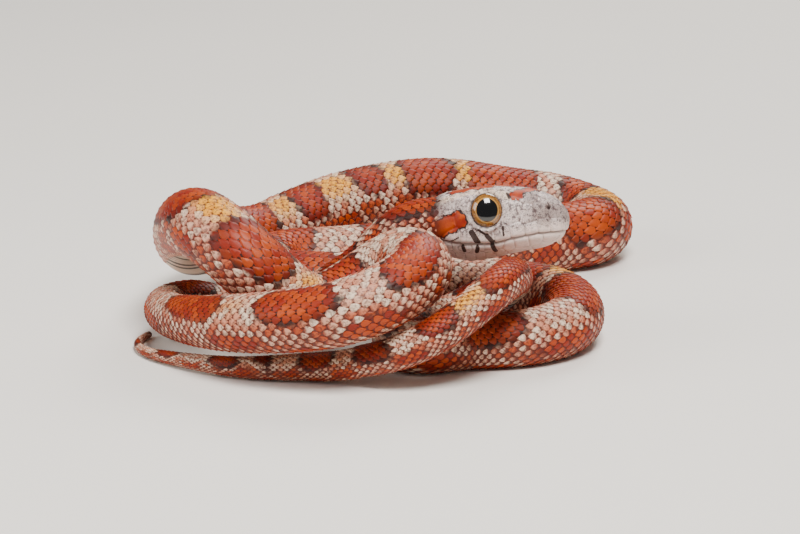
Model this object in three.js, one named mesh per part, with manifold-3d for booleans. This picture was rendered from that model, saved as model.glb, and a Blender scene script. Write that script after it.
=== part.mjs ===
// A young corn snake at life size, coiled at rest with its head laid over its own coils.
// Millimetres, +Z up. The floor is z = 0, and the snake is seen from -Y with its snout towards +X.
import * as THREE from "three";
import Module from "manifold-3d";
import { mergeVertices } from "three/addons/utils/BufferGeometryUtils.js";

const wasm = await Module();
wasm.setup();

// The middle of the coil's outer box, which becomes x = 0, y = 0.
const MIDDLE_X = -0.5;
const MIDDLE_Y = 10.25;

// The head: its joint with the neck, the tip of the snout, and its length between them.
const HEAD_REAR = new THREE.Vector3(3.5, -3.0, 13.6);
const SNOUT_TIP = new THREE.Vector3(18.5, -4.4, 14.6);
const HEAD_LENGTH = HEAD_REAR.distanceTo(SNOUT_TIP);
const NOSE_START = 10.5;
const NOSE_POWER = 2.2;
// The crown is rolled this many degrees away from the viewer.
const HEAD_ROLL = 12;

// Head outline as [distance from the neck, size], before the snout is rounded off.
const HEAD_TOP = [[0, 3.0], [1.5, 3.45], [4.2, 3.85], [7.5, 4.05], [10.5, 3.6], [15.3, 2.9]];
const HEAD_BOTTOM = [[0, 3.0], [1.5, 3.45], [3.9, 4.15], [5.9, 4.0], [8.4, 3.5], [10.7, 3.1], [15.3, 3.0]];
const HEAD_WIDE = [[0, 3.0], [2, 4.0], [4, 4.55], [6, 4.35], [8, 3.85], [10.5, 3.3], [15.3, 2.6]];
const MOUTH_LINE = [[0, -1.5], [1.2, -1.6], [3.75, -2.1], [6.85, -2.25], [9.1, -1.75], [11.7, -1.35], [15.3, -1.25]];
const MOUTH_CORNER = 1.2;
const TOP_POWER = 2.6;
const BOTTOM_POWER = 2.2;
const LIP_WIDTH = 0.42;
const LIP_SWELL = 0.1;
const MOUTH_DEPTH = 0.3;

// The eye, from the neck forward, above the head's axis, and its half sizes.
const EYE_ALONG = 6.35;
const EYE_UP = 1.4;
const EYE_LONG = 1.75;
const EYE_TALL = 1.92;
const EYE_DEEP = 1.0;
const EYE_SUNK = 0.5;
const EYE_GAP = 0.2;
const RIM_THICK = 0.3;

const NOSTRIL_ALONG = 13.0;
const NOSTRIL_UP = 1.5;
const NOSTRIL_RADIUS = 0.3;

// The route of the spine, in named stretches from the neck to the tip of the tail.
const NECK = [[3.5, -3.0, 13.6], [1.0, -1.8, 12.9], [-1.5, -0.4, 10.9], [-3.8, 0.2, 8.5], [-7, 1.0, 6.0],
  [-11.3, 1.4, 3.7], [-17, 2.6, 2.4], [-22, 3.6, 3.1]];
const FRONT_ARM = [[-25.8, 0, 3.6], [-24.4, -7.6, 4.4], [-18.6, -15.6, 6.0], [-11.8, -19.8, 7.4],
  [-5.7, -20.8, 8.7], [-0.6, -18.2, 10.2], [2.0, -13.2, 11.3], [0.2, -8.6, 10.9], [-4, -7.8, 8.0],
  [-8.8, -9.6, 5.9]];
const HUMP = [[-13.2, -9.8, 8.0], [-17.4, -8.8, 11.8], [-21.7, -3, 13.5], [-23.7, 5, 11.0],
  [-23.9, 13, 7.6], [-22.4, 20.4, 5.8]];
const BACK_COIL = [[-17.6, 25.6, 4.7], [-12.1, 30.3, 5.5], [-6.1, 34.4, 6.7], [3.7, 38.8, 7.2],
  [12.4, 40.6, 5.8], [19.4, 40.4, 4.9], [23.0, 38.6, 4.3], [24.3, 34.9, 4.1], [22.5, 31, 4.1],
  [19, 29.2, 4.1], [12, 26.4, 4.1], [3.6, 22.6, 4.0], [-5, 19.2, 4.0], [-10.8, 18, 4.0]];
const INNER_TURN = [[-14.2, 16.6, 4.0], [-15.6, 13.2, 3.9], [-14.2, 9.8, 3.9], [-10.6, 8.4, 3.9],
  [-3.4, 8.2, 3.8], [5.0, 7.6, 3.7]];
const RIGHT_COIL = [[11.5, 7.2, 3.5], [17.2, 4.4, 3.4], [19.3, -1.2, 3.2], [17.7, -7.1, 3.0],
  [12.7, -10.9, 2.8], [7.0, -12.1, 2.7], [2.4, -13.6, 2.7], [-0.2, -11.6, 2.6], [1.0, -8.5, 2.7],
  [4.6, -6.0, 3.3]];
const TAIL_RISE = [[8.1, -4.4, 4.8], [11.1, -5.2, 6.9], [12.1, -8.6, 9.0], [11.6, -12.6, 10.0],
  [9.4, -17, 9.5], [5.4, -19.5, 6.9], [0, -20.1, 4.1]];
const TAIL = [[-5.4, -18.2, 2.4], [-10.6, -17.2, 1.9], [-16.1, -16.4, 1.6], [-20.8, -14.3, 1.4],
  [-24.7, -11.5, 1.2], [-27.7, -8.3, 0.95], [-28.9, -4.4, 0.8], [-28.0, -0.6, 0.6]];
const ROUTE = [NECK, FRONT_ARM, HUMP, BACK_COIL, INNER_TURN, RIGHT_COIL, TAIL_RISE, TAIL].flat();

// Body radius by distance behind the head.
const GIRTH = [[0, 3.0], [5, 2.75], [12, 2.45], [40, 2.4], [50, 2.95], [58, 3.4], [66, 3.6], [84, 3.7],
  [100, 4.0], [156, 4.3], [234, 4.15], [281, 3.6], [304, 3.1], [320, 2.8], [332, 2.4], [352, 2.1],
  [363, 1.7], [372, 1.3], [380, 0.9], [389, 0.5]];
const GIRTH_BLEND = 4;
const BELLY_FLAT = 0.94;
// The first rings of the neck turn from the head's direction to the spine's over this distance.
const NECK_TURN = 6;

// How far the back leans towards the viewer, in degrees, by distance behind the head.
const LEAN = [[0, -12], [8, -12], [20, 8], [36, 18], [44, 50], [52, 52], [62, 36], [85, 35], [98, 22],
  [120, 45], [140, 30], [170, 28], [240, 25], [300, 28], [330, 35], [386, 25]];

// The body presses this far into the floor and is flattened there.
const SINK = 0.18;
const SETTLE = 1.2;

const SIDES = 16;
const STEP = 2.6;
const GAP = 0.3;
// Where the body is divided, by distance behind the head.
const DIVISIONS = [0, 26, 58, 90, 120, 150, 182, 214, 246, 278, 306, 334, 362];
const NAMES = ["neck_front", "neck_back", "body_1", "body_2", "body_3", "body_4", "body_5", "body_6",
  "body_7", "body_8", "body_9", "tail_1", "tail_2"];

const SKIN_COLOURS = [0xc9745a, 0xb8452a];

function onList(list, x) {
  let i = 1;
  while (i < list.length - 1 && list[i][0] < x) i += 1;
  const [x0, y0] = list[i - 1];
  const [x1, y1] = list[i];
  const t = THREE.MathUtils.clamp((x - x0) / (x1 - x0), 0, 1);
  return y0 + (y1 - y0) * t;
}

function smoothList(list, x, blend) {
  return (onList(list, x - blend) + onList(list, x) + onList(list, x + blend)) / 3;
}

// A smooth curve through given points: a uniform cubic B-spline whose guide points are solved for.
class SpineCurve extends THREE.Curve {
  constructor(points) {
    super();
    this.arcLengthDivisions = 3000;
    const through = points.map((p) => new THREE.Vector3(...p));
    const guides = through.map((p) => p.clone());
    for (let round = 0; round < 60; round += 1) {
      for (let i = 1; i < guides.length - 1; i += 1) {
        const beside = guides[i - 1].clone().add(guides[i + 1]);
        guides[i] = through[i].clone().multiplyScalar(6).sub(beside).divideScalar(4);
      }
    }
    const last = guides.length - 1;
    const before = guides[0].clone().multiplyScalar(2).sub(guides[1]);
    const after = guides[last].clone().multiplyScalar(2).sub(guides[last - 1]);
    this.guides = [before, ...guides, after];
  }

  getPoint(share) {
    const spans = this.guides.length - 3;
    const place = Math.min(share * spans, spans - 1e-9);
    const i = Math.floor(place);
    const t = place - i;
    const weights = [(1 - t) ** 3, 3 * t ** 3 - 6 * t * t + 4, -3 * t ** 3 + 3 * t * t + 3 * t + 1, t ** 3];
    const point = new THREE.Vector3();
    weights.forEach((w, k) => point.addScaledVector(this.guides[i + k], w / 6));
    return point;
  }
}

const spine = new SpineCurve(ROUTE);
const SPINE_LENGTH = spine.getLength();

function girthAt(distance) {
  return smoothList(GIRTH, distance, GIRTH_BLEND);
}

// The across-body directions at a distance behind the head: back (dorsal) and left side.
function bodyFrame(distance) {
  const share = THREE.MathUtils.clamp(distance / SPINE_LENGTH, 0, 1);
  const centre = spine.getPointAt(share);
  const along = spine.getTangentAt(share);
  const turned = THREE.MathUtils.smoothstep(distance, 0, NECK_TURN);
  along.lerp(HEAD_REAR.clone().sub(SNOUT_TIP).normalize(), 1 - turned).normalize();
  const lean = THREE.MathUtils.degToRad(smoothList(LEAN, distance, 8));
  const hint = new THREE.Vector3(0, -Math.sin(lean), Math.cos(lean));
  const back = hint.addScaledVector(along, -hint.dot(along)).normalize();
  const side = along.clone().cross(back);
  return { centre, back, side };
}

// One ring of the body's skin, flattened on the belly, settled on the floor and cut flat there.
function bodyRing(distance) {
  const { centre, back, side } = bodyFrame(distance);
  const radius = girthAt(distance);
  const offsets = [];
  for (let i = 0; i < SIDES; i += 1) {
    const angle = (2 * Math.PI * i) / SIDES;
    const up = Math.cos(angle);
    const height = up < 0 ? up * BELLY_FLAT : up;
    offsets.push(side.clone().multiplyScalar(radius * Math.sin(angle)).addScaledVector(back, radius * height));
  }
  const lowest = -Math.min(...offsets.map((o) => o.z));
  const lift = centre.z - (lowest - SINK);
  const settled = lift < 0 ? 0 : lift < SETTLE ? (lift * lift) / SETTLE : lift;
  centre.z = lowest - SINK + settled;
  return offsets.map((o) => {
    const p = o.add(centre);
    p.z = Math.max(p.z, 0);
    return p;
  });
}

// Closes a run of rings with the same number of points into one solid geometry.
function solidOfRings(rings) {
  const count = rings[0].length;
  const places = rings.flat().flatMap((p) => [p.x, p.y, p.z]);
  const faces = [];
  for (let i = 0; i < rings.length - 1; i += 1) {
    for (let k = 0; k < count; k += 1) {
      const a = i * count + k;
      const b = i * count + ((k + 1) % count);
      faces.push(a, b, b + count, a, b + count, a + count);
    }
  }
  const ends = [[0, 1], [(rings.length - 1) * count, -1]];
  for (const [start, turn] of ends) {
    const middle = places.length / 3;
    const ring = rings[start / count];
    const centre = new THREE.Vector3();
    ring.forEach((p) => centre.addScaledVector(p, 1 / count));
    places.push(centre.x, centre.y, centre.z);
    for (let k = 0; k < count; k += 1) {
      const a = start + k;
      const b = start + ((k + 1) % count);
      faces.push(...(turn > 0 ? [middle, b, a] : [middle, a, b]));
    }
  }
  const geometry = new THREE.BufferGeometry();
  geometry.setAttribute("position", new THREE.Float32BufferAttribute(places, 3));
  geometry.setIndex(faces);
  return geometry;
}

function bodyLength(from, to) {
  const steps = Math.max(2, Math.round((to - from) / STEP));
  const rings = [];
  for (let i = 0; i <= steps; i += 1) rings.push(bodyRing(from + ((to - from) * i) / steps));
  return solidOfRings(rings);
}

function noseRound(along) {
  const t = THREE.MathUtils.clamp((along - NOSE_START) / (HEAD_LENGTH - NOSE_START), 0, 1);
  return Math.sqrt(Math.max(0, 1 - t ** NOSE_POWER));
}

// A point on the head's outline at an angle from the top, as [side, up].
function headOutline(along, angle) {
  const round = noseRound(along);
  const up = Math.cos(angle);
  const tall = smoothList(up > 0 ? HEAD_TOP : HEAD_BOTTOM, along, 0.5) * round;
  const wide = smoothList(HEAD_WIDE, along, 0.5) * round;
  const power = up > 0 ? TOP_POWER : BOTTOM_POWER;
  const reach = ((Math.abs(Math.sin(angle)) / wide) ** power + (Math.abs(up) / tall) ** power) ** (-1 / power);
  return [Math.sin(angle) * reach, up * reach];
}

// The angle at which the head's left side has a given height.
function angleAtHeight(along, height) {
  let low = 0.3;
  let high = Math.PI - 0.3;
  for (let i = 0; i < 24; i += 1) {
    const middle = (low + high) / 2;
    if (headOutline(along, middle)[1] > height) low = middle;
    else high = middle;
  }
  return (low + high) / 2;
}

// Half a ring's angles, with one row along the mouth and one along the edge of each lip.
function headAngles(along) {
  const round = noseRound(along);
  const mouth = onList(MOUTH_LINE, along);
  const lip = LIP_WIDTH * round;
  const rows = [mouth + 2.2 * lip, mouth + lip, mouth, mouth - lip, mouth - 2.2 * lip];
  const lipAngles = rows.map((height) => angleAtHeight(along, height * round ** 0.5));
  const above = [0, 1, 2, 3, 4, 5].map((i) => (lipAngles[0] * i) / 6);
  const below = [1, 2, 3].map((i) => lipAngles[4] + ((Math.PI - lipAngles[4]) * i) / 3);
  const angles = [...above, ...lipAngles, ...below];
  const shifts = angles.map(() => 0);
  const fade = THREE.MathUtils.smoothstep(along, MOUTH_CORNER, MOUTH_CORNER + 0.8);
  shifts[7] = LIP_SWELL * fade;
  shifts[8] = -MOUTH_DEPTH * fade;
  shifts[9] = LIP_SWELL * fade;
  return { angles, shifts };
}

function headRing(along, toWorld) {
  const { angles, shifts } = headAngles(along);
  const left = angles.map((angle, i) => {
    const [side, up] = headOutline(along, angle);
    const length = Math.hypot(side, up);
    const grow = (length + shifts[i] * Math.min(1, length / 2)) / length;
    return [side * grow, up * grow];
  });
  const right = left.slice(1, -1).reverse().map(([side, up]) => [-side, up]);
  return [...left, ...right].map(([side, up]) => new THREE.Vector3(along, side, up).applyMatrix4(toWorld));
}

// Head axes: x forward to the snout, y to the animal's left, z up through the crown.
function headMatrix() {
  const forward = SNOUT_TIP.clone().sub(HEAD_REAR).normalize();
  const up = new THREE.Vector3(0, 0, 1);
  const left = up.clone().cross(forward).normalize();
  left.applyAxisAngle(forward, -THREE.MathUtils.degToRad(HEAD_ROLL));
  const crown = forward.clone().cross(left);
  return new THREE.Matrix4().makeBasis(forward, left, crown).setPosition(HEAD_REAR);
}

function headBlank(toWorld) {
  const rings = [];
  const steps = 26;
  for (let i = 0; i < steps; i += 1) {
    const share = i / steps;
    const along = GAP / 2 + (HEAD_LENGTH - GAP / 2) * Math.sin((share * Math.PI) / 2) ** 1.15;
    rings.push(headRing(Math.min(along, HEAD_LENGTH - 0.03), toWorld));
  }
  return solidOfRings(rings.reverse());
}

function toSolid(geometry) {
  const bare = geometry.clone();
  bare.deleteAttribute("normal");
  bare.deleteAttribute("uv");
  const merged = mergeVertices(bare, 1e-4);
  const vertProperties = new Float32Array(merged.attributes.position.array);
  const triVerts = new Uint32Array(merged.index.array);
  return new wasm.Manifold(new wasm.Mesh({ numProp: 3, vertProperties, triVerts }));
}

function toGeometry(solid) {
  const mesh = solid.getMesh();
  const geometry = new THREE.BufferGeometry();
  geometry.setAttribute("position", new THREE.BufferAttribute(mesh.vertProperties, mesh.numProp));
  geometry.setIndex(new THREE.BufferAttribute(mesh.triVerts, 1));
  return geometry;
}

// Where an eye sits: its own z axis points out of the head.
function eyeMatrix(sign, toWorld) {
  const angle = angleAtHeight(EYE_ALONG, EYE_UP);
  const side = headOutline(EYE_ALONG, angle)[0] - EYE_SUNK;
  const out = new THREE.Vector3(0.16, sign, 0.12).normalize();
  const up = new THREE.Vector3(0, 0, 1).addScaledVector(out, -out.z).normalize();
  const along = up.clone().cross(out);
  const seat = new THREE.Matrix4().makeBasis(along, up, out).setPosition(EYE_ALONG, sign * side, EYE_UP);
  return toWorld.clone().multiply(seat);
}

function eyeBall(sign, toWorld, extra) {
  const ball = new THREE.SphereGeometry(1, 18, 10);
  ball.scale(EYE_LONG + extra, EYE_TALL + extra, EYE_DEEP + extra);
  return ball.applyMatrix4(eyeMatrix(sign, toWorld));
}

function eyeRim(sign, toWorld) {
  const ring = new THREE.TorusGeometry(1, RIM_THICK / EYE_LONG, 6, 20);
  ring.scale(EYE_LONG + EYE_GAP, EYE_TALL + EYE_GAP, EYE_LONG);
  ring.translate(0, 0, EYE_SUNK * 0.6);
  return ring.applyMatrix4(eyeMatrix(sign, toWorld));
}

function nostril(sign, toWorld) {
  const angle = angleAtHeight(NOSTRIL_ALONG, NOSTRIL_UP);
  const side = headOutline(NOSTRIL_ALONG, angle)[0];
  const pit = new THREE.SphereGeometry(NOSTRIL_RADIUS, 12, 8);
  pit.scale(1.3, 1.5, 1);
  return pit.translate(NOSTRIL_ALONG, sign * side, NOSTRIL_UP).applyMatrix4(toWorld);
}

function headSolid(toWorld) {
  let head = toSolid(headBlank(toWorld));
  for (const sign of [1, -1]) {
    head = head.add(toSolid(eyeRim(sign, toWorld)));
    head = head.subtract(toSolid(eyeBall(sign, toWorld, EYE_GAP)));
    head = head.subtract(toSolid(nostril(sign, toWorld)));
  }
  return toGeometry(head);
}

const snake = new THREE.Group();
snake.position.set(-MIDDLE_X, -MIDDLE_Y, 0);

function place(name, geometry, colour, roughness) {
  const material = new THREE.MeshStandardMaterial({ color: colour, roughness, metalness: 0 });
  const mesh = new THREE.Mesh(geometry, material);
  mesh.name = name;
  snake.add(mesh);
}

const toWorld = headMatrix();
place("head", headSolid(toWorld), 0xd8cfc8, 0.5);
place("eye_left", eyeBall(1, toWorld, 0), 0x2a1408, 0.08);
place("eye_right", eyeBall(-1, toWorld, 0), 0x2a1408, 0.08);
DIVISIONS.forEach((start, i) => {
  const end = i + 1 < DIVISIONS.length ? DIVISIONS[i + 1] - GAP / 2 : SPINE_LENGTH;
  place(NAMES[i], bodyLength(start + GAP / 2, end), SKIN_COLOURS[i % 2], 0.5);
});

export default snake;
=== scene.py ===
import bpy
import math
import numpy as np
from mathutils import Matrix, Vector


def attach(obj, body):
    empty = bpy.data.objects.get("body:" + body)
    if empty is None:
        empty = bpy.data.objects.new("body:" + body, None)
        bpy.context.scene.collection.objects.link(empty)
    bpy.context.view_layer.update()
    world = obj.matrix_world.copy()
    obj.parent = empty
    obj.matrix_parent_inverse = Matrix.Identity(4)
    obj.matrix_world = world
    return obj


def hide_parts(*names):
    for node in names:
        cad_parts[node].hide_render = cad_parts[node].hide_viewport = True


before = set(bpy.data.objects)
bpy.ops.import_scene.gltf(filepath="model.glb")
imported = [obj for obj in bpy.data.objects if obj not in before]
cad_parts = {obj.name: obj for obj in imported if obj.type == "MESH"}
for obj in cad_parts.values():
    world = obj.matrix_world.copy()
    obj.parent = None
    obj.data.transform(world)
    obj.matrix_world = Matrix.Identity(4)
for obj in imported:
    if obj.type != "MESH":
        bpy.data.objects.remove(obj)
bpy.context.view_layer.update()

# Everything is worked out in millimetres and turned to metres where a mesh or a light is made.
MM = 0.001

# The middle of the coil's outer box, which is x = 0, y = 0 of the frame.
MIDDLE = np.array([-0.5, 10.25, 0.0])

# The head: its joint with the neck, the tip of the snout, and its length between them.
HEAD_REAR = np.array([3.5, -3.0, 13.6])
SNOUT_TIP = np.array([18.5, -4.4, 14.6])
HEAD_LENGTH = float(np.linalg.norm(SNOUT_TIP - HEAD_REAR))
NOSE_START = 10.5
NOSE_POWER = 2.2
# The crown is rolled this many degrees away from the viewer.
HEAD_ROLL = 12

# Head outline as (distance from the neck, size), before the snout is rounded off.
HEAD_TOP = ((0, 3.0), (1.5, 3.45), (4.2, 3.85), (7.5, 4.05), (10.5, 3.6), (15.3, 2.9))
HEAD_BOTTOM = ((0, 3.0), (1.5, 3.45), (3.9, 4.15), (5.9, 4.0), (8.4, 3.5), (10.7, 3.1), (15.3, 3.0))
HEAD_WIDE = ((0, 3.0), (2, 4.0), (4, 4.55), (6, 4.35), (8, 3.85), (10.5, 3.3), (15.3, 2.6))
MOUTH_LINE = ((0, -1.5), (1.2, -1.6), (3.75, -2.1), (6.85, -2.25), (9.1, -1.75), (11.7, -1.35),
              (15.3, -1.25))
MOUTH_CORNER = 1.2
TOP_POWER = 2.6
BOTTOM_POWER = 2.2

EYE_ALONG = 6.35
EYE_UP = 1.4
EYE_LONG = 1.75
EYE_TALL = 1.92
EYE_DEEP = 1.0
EYE_SUNK = 0.5
NOSTRIL = (13.0, 1.5)

# The route of the spine, in named stretches from the neck to the tip of the tail.
NECK = ((3.5, -3.0, 13.6), (1.0, -1.8, 12.9), (-1.5, -0.4, 10.9), (-3.8, 0.2, 8.5), (-7, 1.0, 6.0),
        (-11.3, 1.4, 3.7), (-17, 2.6, 2.4), (-22, 3.6, 3.1))
FRONT_ARM = ((-25.8, 0, 3.6), (-24.4, -7.6, 4.4), (-18.6, -15.6, 6.0), (-11.8, -19.8, 7.4),
             (-5.7, -20.8, 8.7), (-0.6, -18.2, 10.2), (2.0, -13.2, 11.3), (0.2, -8.6, 10.9), (-4, -7.8, 8.0),
             (-8.8, -9.6, 5.9))
HUMP = ((-13.2, -9.8, 8.0), (-17.4, -8.8, 11.8), (-21.7, -3, 13.5), (-23.7, 5, 11.0),
        (-23.9, 13, 7.6), (-22.4, 20.4, 5.8))
BACK_COIL = ((-17.6, 25.6, 4.7), (-12.1, 30.3, 5.5), (-6.1, 34.4, 6.7), (3.7, 38.8, 7.2),
             (12.4, 40.6, 5.8), (19.4, 40.4, 4.9), (23.0, 38.6, 4.3), (24.3, 34.9, 4.1), (22.5, 31, 4.1),
             (19, 29.2, 4.1), (12, 26.4, 4.1), (3.6, 22.6, 4.0), (-5, 19.2, 4.0), (-10.8, 18, 4.0))
INNER_TURN = ((-14.2, 16.6, 4.0), (-15.6, 13.2, 3.9), (-14.2, 9.8, 3.9), (-10.6, 8.4, 3.9),
              (-3.4, 8.2, 3.8), (5.0, 7.6, 3.7))
RIGHT_COIL = ((11.5, 7.2, 3.5), (17.2, 4.4, 3.4), (19.3, -1.2, 3.2), (17.7, -7.1, 3.0),
              (12.7, -10.9, 2.8), (7.0, -12.1, 2.7), (2.4, -13.6, 2.7), (-0.2, -11.6, 2.6), (1.0, -8.5, 2.7),
              (4.6, -6.0, 3.3))
TAIL_RISE = ((8.1, -4.4, 4.8), (11.1, -5.2, 6.9), (12.1, -8.6, 9.0), (11.6, -12.6, 10.0),
             (9.4, -17, 9.5), (5.4, -19.5, 6.9), (0, -20.1, 4.1))
TAIL = ((-5.4, -18.2, 2.4), (-10.6, -17.2, 1.9), (-16.1, -16.4, 1.6), (-20.8, -14.3, 1.4),
        (-24.7, -11.5, 1.2), (-27.7, -8.3, 0.95), (-28.9, -4.4, 0.8), (-28.0, -0.6, 0.6))
ROUTE = NECK + FRONT_ARM + HUMP + BACK_COIL + INNER_TURN + RIGHT_COIL + TAIL_RISE + TAIL

# Body radius, and the lean of the back towards the viewer in degrees, by distance behind the head.
GIRTH = ((0, 3.0), (5, 2.75), (12, 2.45), (40, 2.4), (50, 2.95), (58, 3.4), (66, 3.6), (84, 3.7),
         (100, 4.0), (156, 4.3), (234, 4.15), (281, 3.6), (304, 3.1), (320, 2.8), (332, 2.4), (352, 2.1),
         (363, 1.7), (372, 1.3), (380, 0.9), (389, 0.5))
LEAN = ((0, -12), (8, -12), (20, 8), (36, 18), (44, 50), (52, 52), (62, 36), (85, 35), (98, 22),
        (120, 45), (140, 30), (170, 28), (240, 25), (300, 28), (330, 35), (386, 25))
GIRTH_BLEND = 4
LEAN_BLEND = 8
BELLY_FLAT = 0.94
NECK_TURN = 6
SINK = 0.18
SETTLE = 1.2

# The skin lies this far inside the scales' backs.
COAT = 0.13
FLOOR_CLEAR = 0.02
# The skin's points round the body, and its rings' spacing on the body and head, closer at the nose.
AROUND = 240
BODY_STEP = 0.6
HEAD_STEP = 0.08
NOSE_LENGTH = 3
NOSE_RINGS = 45

# Scales: rows over the back and flanks, and the degrees of the body that they cover. Their length and width
# are shares of the spacing, over the back and on the flanks.
ROWS = 25
BACK_SPAN = 276
SCALE_LENGTH = (1.36, 1.16)
SCALE_WIDTH = (1.5, 1.26)
SCALE_PIECES = 5
FIRST_RING = -1.6
TAIL_CLEAR = 0.5
# Scutes are the wide scales under the belly, single in front of the vent and in pairs behind it.
VENT = 300
SCUTE_LENGTH = 1.35
BELLY_LIFT = 0.07
TAIL_LIFT = 0.06
# A scale's shape: how far its sides lie behind its middle, where its own place is along it, how deep its
# front edge sinks, how deep its skirt hangs, and how much one scale's lift differs from the next one's.
SIDES_BACK = 0.13
SCALE_MIDDLE = 0.42
FRONT_DEEP = 0.05
SKIRT_DEEP = 0.04
LIFT_SPREAD = 0.25
# The side of one scale's patch on the baked map.
BAKE_PATCH = 0.003

# The dark saddles from the nape to the tip of the tail: middle, half length, half width in degrees.
SADDLES = ((1.4, 3.6, 74), (11, 3.2, 52), (21, 3.2, 52), (32, 3.2, 50), (49.6, 5.0, 42), (63.4, 4.3, 38),
           (76.8, 4.6, 42), (91.5, 3.2, 44), (105, 3.5, 48), (117.8, 5.3, 74), (133, 4.0, 54),
           (146.2, 2.5, 54), (154.2, 2.2, 54), (163, 2.0, 44), (171, 3.2, 54), (180.7, 4.9, 54),
           (191, 2.2, 48), (202.5, 4.1, 62), (214, 4.0, 54), (227, 3.8, 54), (239.5, 3.4, 54),
           (252, 3.6, 54), (263.5, 3.0, 54), (277, 3.0, 52), (287.3, 4.7, 74), (303, 3.6, 52),
           (315.5, 3.2, 52), (327, 3.0, 50), (339.5, 4.4, 50), (349.4, 2.2, 50), (357.3, 2.1, 52),
           (364.1, 1.8, 55), (369.5, 0.8, 50), (374.2, 1.5, 55), (381.8, 1.5, 55), (389, 1.2, 60))
SADDLE_PLACE, SADDLE_HALF, SADDLE_TURN = (np.array(column) for column in zip(*SADDLES))

# The yellow patches near the middle of the back, between saddles: middle, degrees from the top, strength.
GOLD = ((56.5, 0, 0.35), (98, 5, 0.7), (110.3, 12, 1.1), (150.4, 5, 0.7), (158.6, 5, 0.9), (167, 5, 0.8),
        (175.9, 0, 1.0), (195.9, -12, 1.2), (208.5, 0, 0.5), (222, 0, 0.6), (280.6, -32, 1.0),
        (345.8, 0, 0.8))
GOLD_HALF = 2.8
GOLD_TURN = 30


def on_list(pairs, x):
    xs, ys = zip(*pairs)
    return np.interp(x, xs, ys)


def smooth_list(pairs, x, blend):
    x = np.asarray(x, float)
    return (on_list(pairs, x - blend) + on_list(pairs, x) + on_list(pairs, x + blend)) / 3


def smoothstep(x, low, high):
    t = np.clip((np.asarray(x, float) - low) / (high - low), 0, 1)
    return t * t * (3 - 2 * t)


def unit(v):
    return v / np.linalg.norm(v, axis=-1, keepdims=True)


def spine_samples(points, per_span=60):
    """Points along a uniform cubic B-spline that passes through the given points."""
    through = np.array(points, float)
    guides = through.copy()
    for _ in range(60):
        for i in range(1, len(guides) - 1):
            guides[i] = (6 * through[i] - guides[i - 1] - guides[i + 1]) / 4
    first = 2 * guides[0] - guides[1]
    last = 2 * guides[-1] - guides[-2]
    guides = np.vstack([first, guides, last])
    t = np.arange(per_span) / per_span
    early = 3 * t ** 3 - 6 * t * t + 4
    late = -3 * t ** 3 + 3 * t * t + 3 * t + 1
    weights = np.stack([(1 - t) ** 3, early, late, t ** 3]) / 6
    spans = [weights.T @ guides[i:i + 4] for i in range(len(guides) - 3)]
    end = (guides[-3] + 4 * guides[-2] + guides[-1]) / 6
    return np.vstack(spans + [end[None]])


SPINE = spine_samples(ROUTE)
SPINE_PLACE = np.concatenate([[0], np.cumsum(np.linalg.norm(np.diff(SPINE, axis=0), axis=1))])
SPINE_LENGTH = float(SPINE_PLACE[-1])
SPINE_ALONG = unit(np.gradient(SPINE, SPINE_PLACE, axis=0))
FORWARD = unit(SNOUT_TIP - HEAD_REAR)
LEVEL_LEFT = unit(np.cross([0, 0, 1.0], FORWARD))
LEVEL_CROWN = np.cross(FORWARD, LEVEL_LEFT)
LEFT = LEVEL_LEFT * math.cos(math.radians(HEAD_ROLL)) - LEVEL_CROWN * math.sin(math.radians(HEAD_ROLL))
CROWN = np.cross(FORWARD, LEFT)


def follow(table, s):
    return np.stack([np.interp(s, SPINE_PLACE, table[:, k]) for k in range(3)], axis=-1)


def body_frame(s):
    """Centre, back direction and left side of the body at distances s behind the head."""
    centre = follow(SPINE, s)
    along = follow(SPINE_ALONG, s)
    turned = smoothstep(s, 0, NECK_TURN)[..., None]
    along = unit(along * turned - FORWARD * (1 - turned))
    lean = np.radians(smooth_list(LEAN, s, LEAN_BLEND))
    hint = np.stack([np.zeros_like(lean), -np.sin(lean), np.cos(lean)], axis=-1)
    back = unit(hint - along * np.sum(hint * along, axis=-1, keepdims=True))
    side = np.cross(along, back)
    radius = smooth_list(GIRTH, s, GIRTH_BLEND)
    turn = np.radians(np.arange(0, 360, 7.5))
    up = np.where(np.cos(turn) < 0, np.cos(turn) * BELLY_FLAT, np.cos(turn))
    drop = side[..., 2:3] * np.sin(turn) + back[..., 2:3] * up
    rest = -radius * np.min(drop, axis=-1) - SINK
    lift = centre[..., 2] - rest
    settled = np.where(lift < 0, 0, np.where(lift < SETTLE, lift * lift / SETTLE, lift))
    centre[..., 2] = rest + settled
    return centre, back, side, radius


def nose_round(along):
    t = np.clip((along - NOSE_START) / (HEAD_LENGTH - NOSE_START), 0, 1)
    return np.sqrt(np.clip(1 - t ** NOSE_POWER, 0, 1))


def head_sizes(along, upper):
    tall = np.where(upper, smooth_list(HEAD_TOP, along, 0.5), smooth_list(HEAD_BOTTOM, along, 0.5))
    wide = smooth_list(HEAD_WIDE, along, 0.5)
    power = np.where(upper, TOP_POWER, BOTTOM_POWER)
    round_off = np.maximum(nose_round(along), 1e-4)
    return tall * round_off, wide * round_off, power


def head_outline(along, angle):
    """Side and up distances of the head's outline at an angle from the top, in radians."""
    up = np.cos(angle)
    tall, wide, power = head_sizes(along, up > 0)
    reach = ((np.abs(np.sin(angle)) / wide) ** power + (np.abs(up) / tall) ** power) ** (-1 / power)
    return np.sin(angle) * reach, up * reach


def head_side(along, up):
    """How far out the head's side is at a height."""
    tall, wide, power = head_sizes(along, up > 0)
    return wide * (1 - np.clip(np.abs(up) / tall, 0, 0.999) ** power) ** (1 / power)


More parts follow.
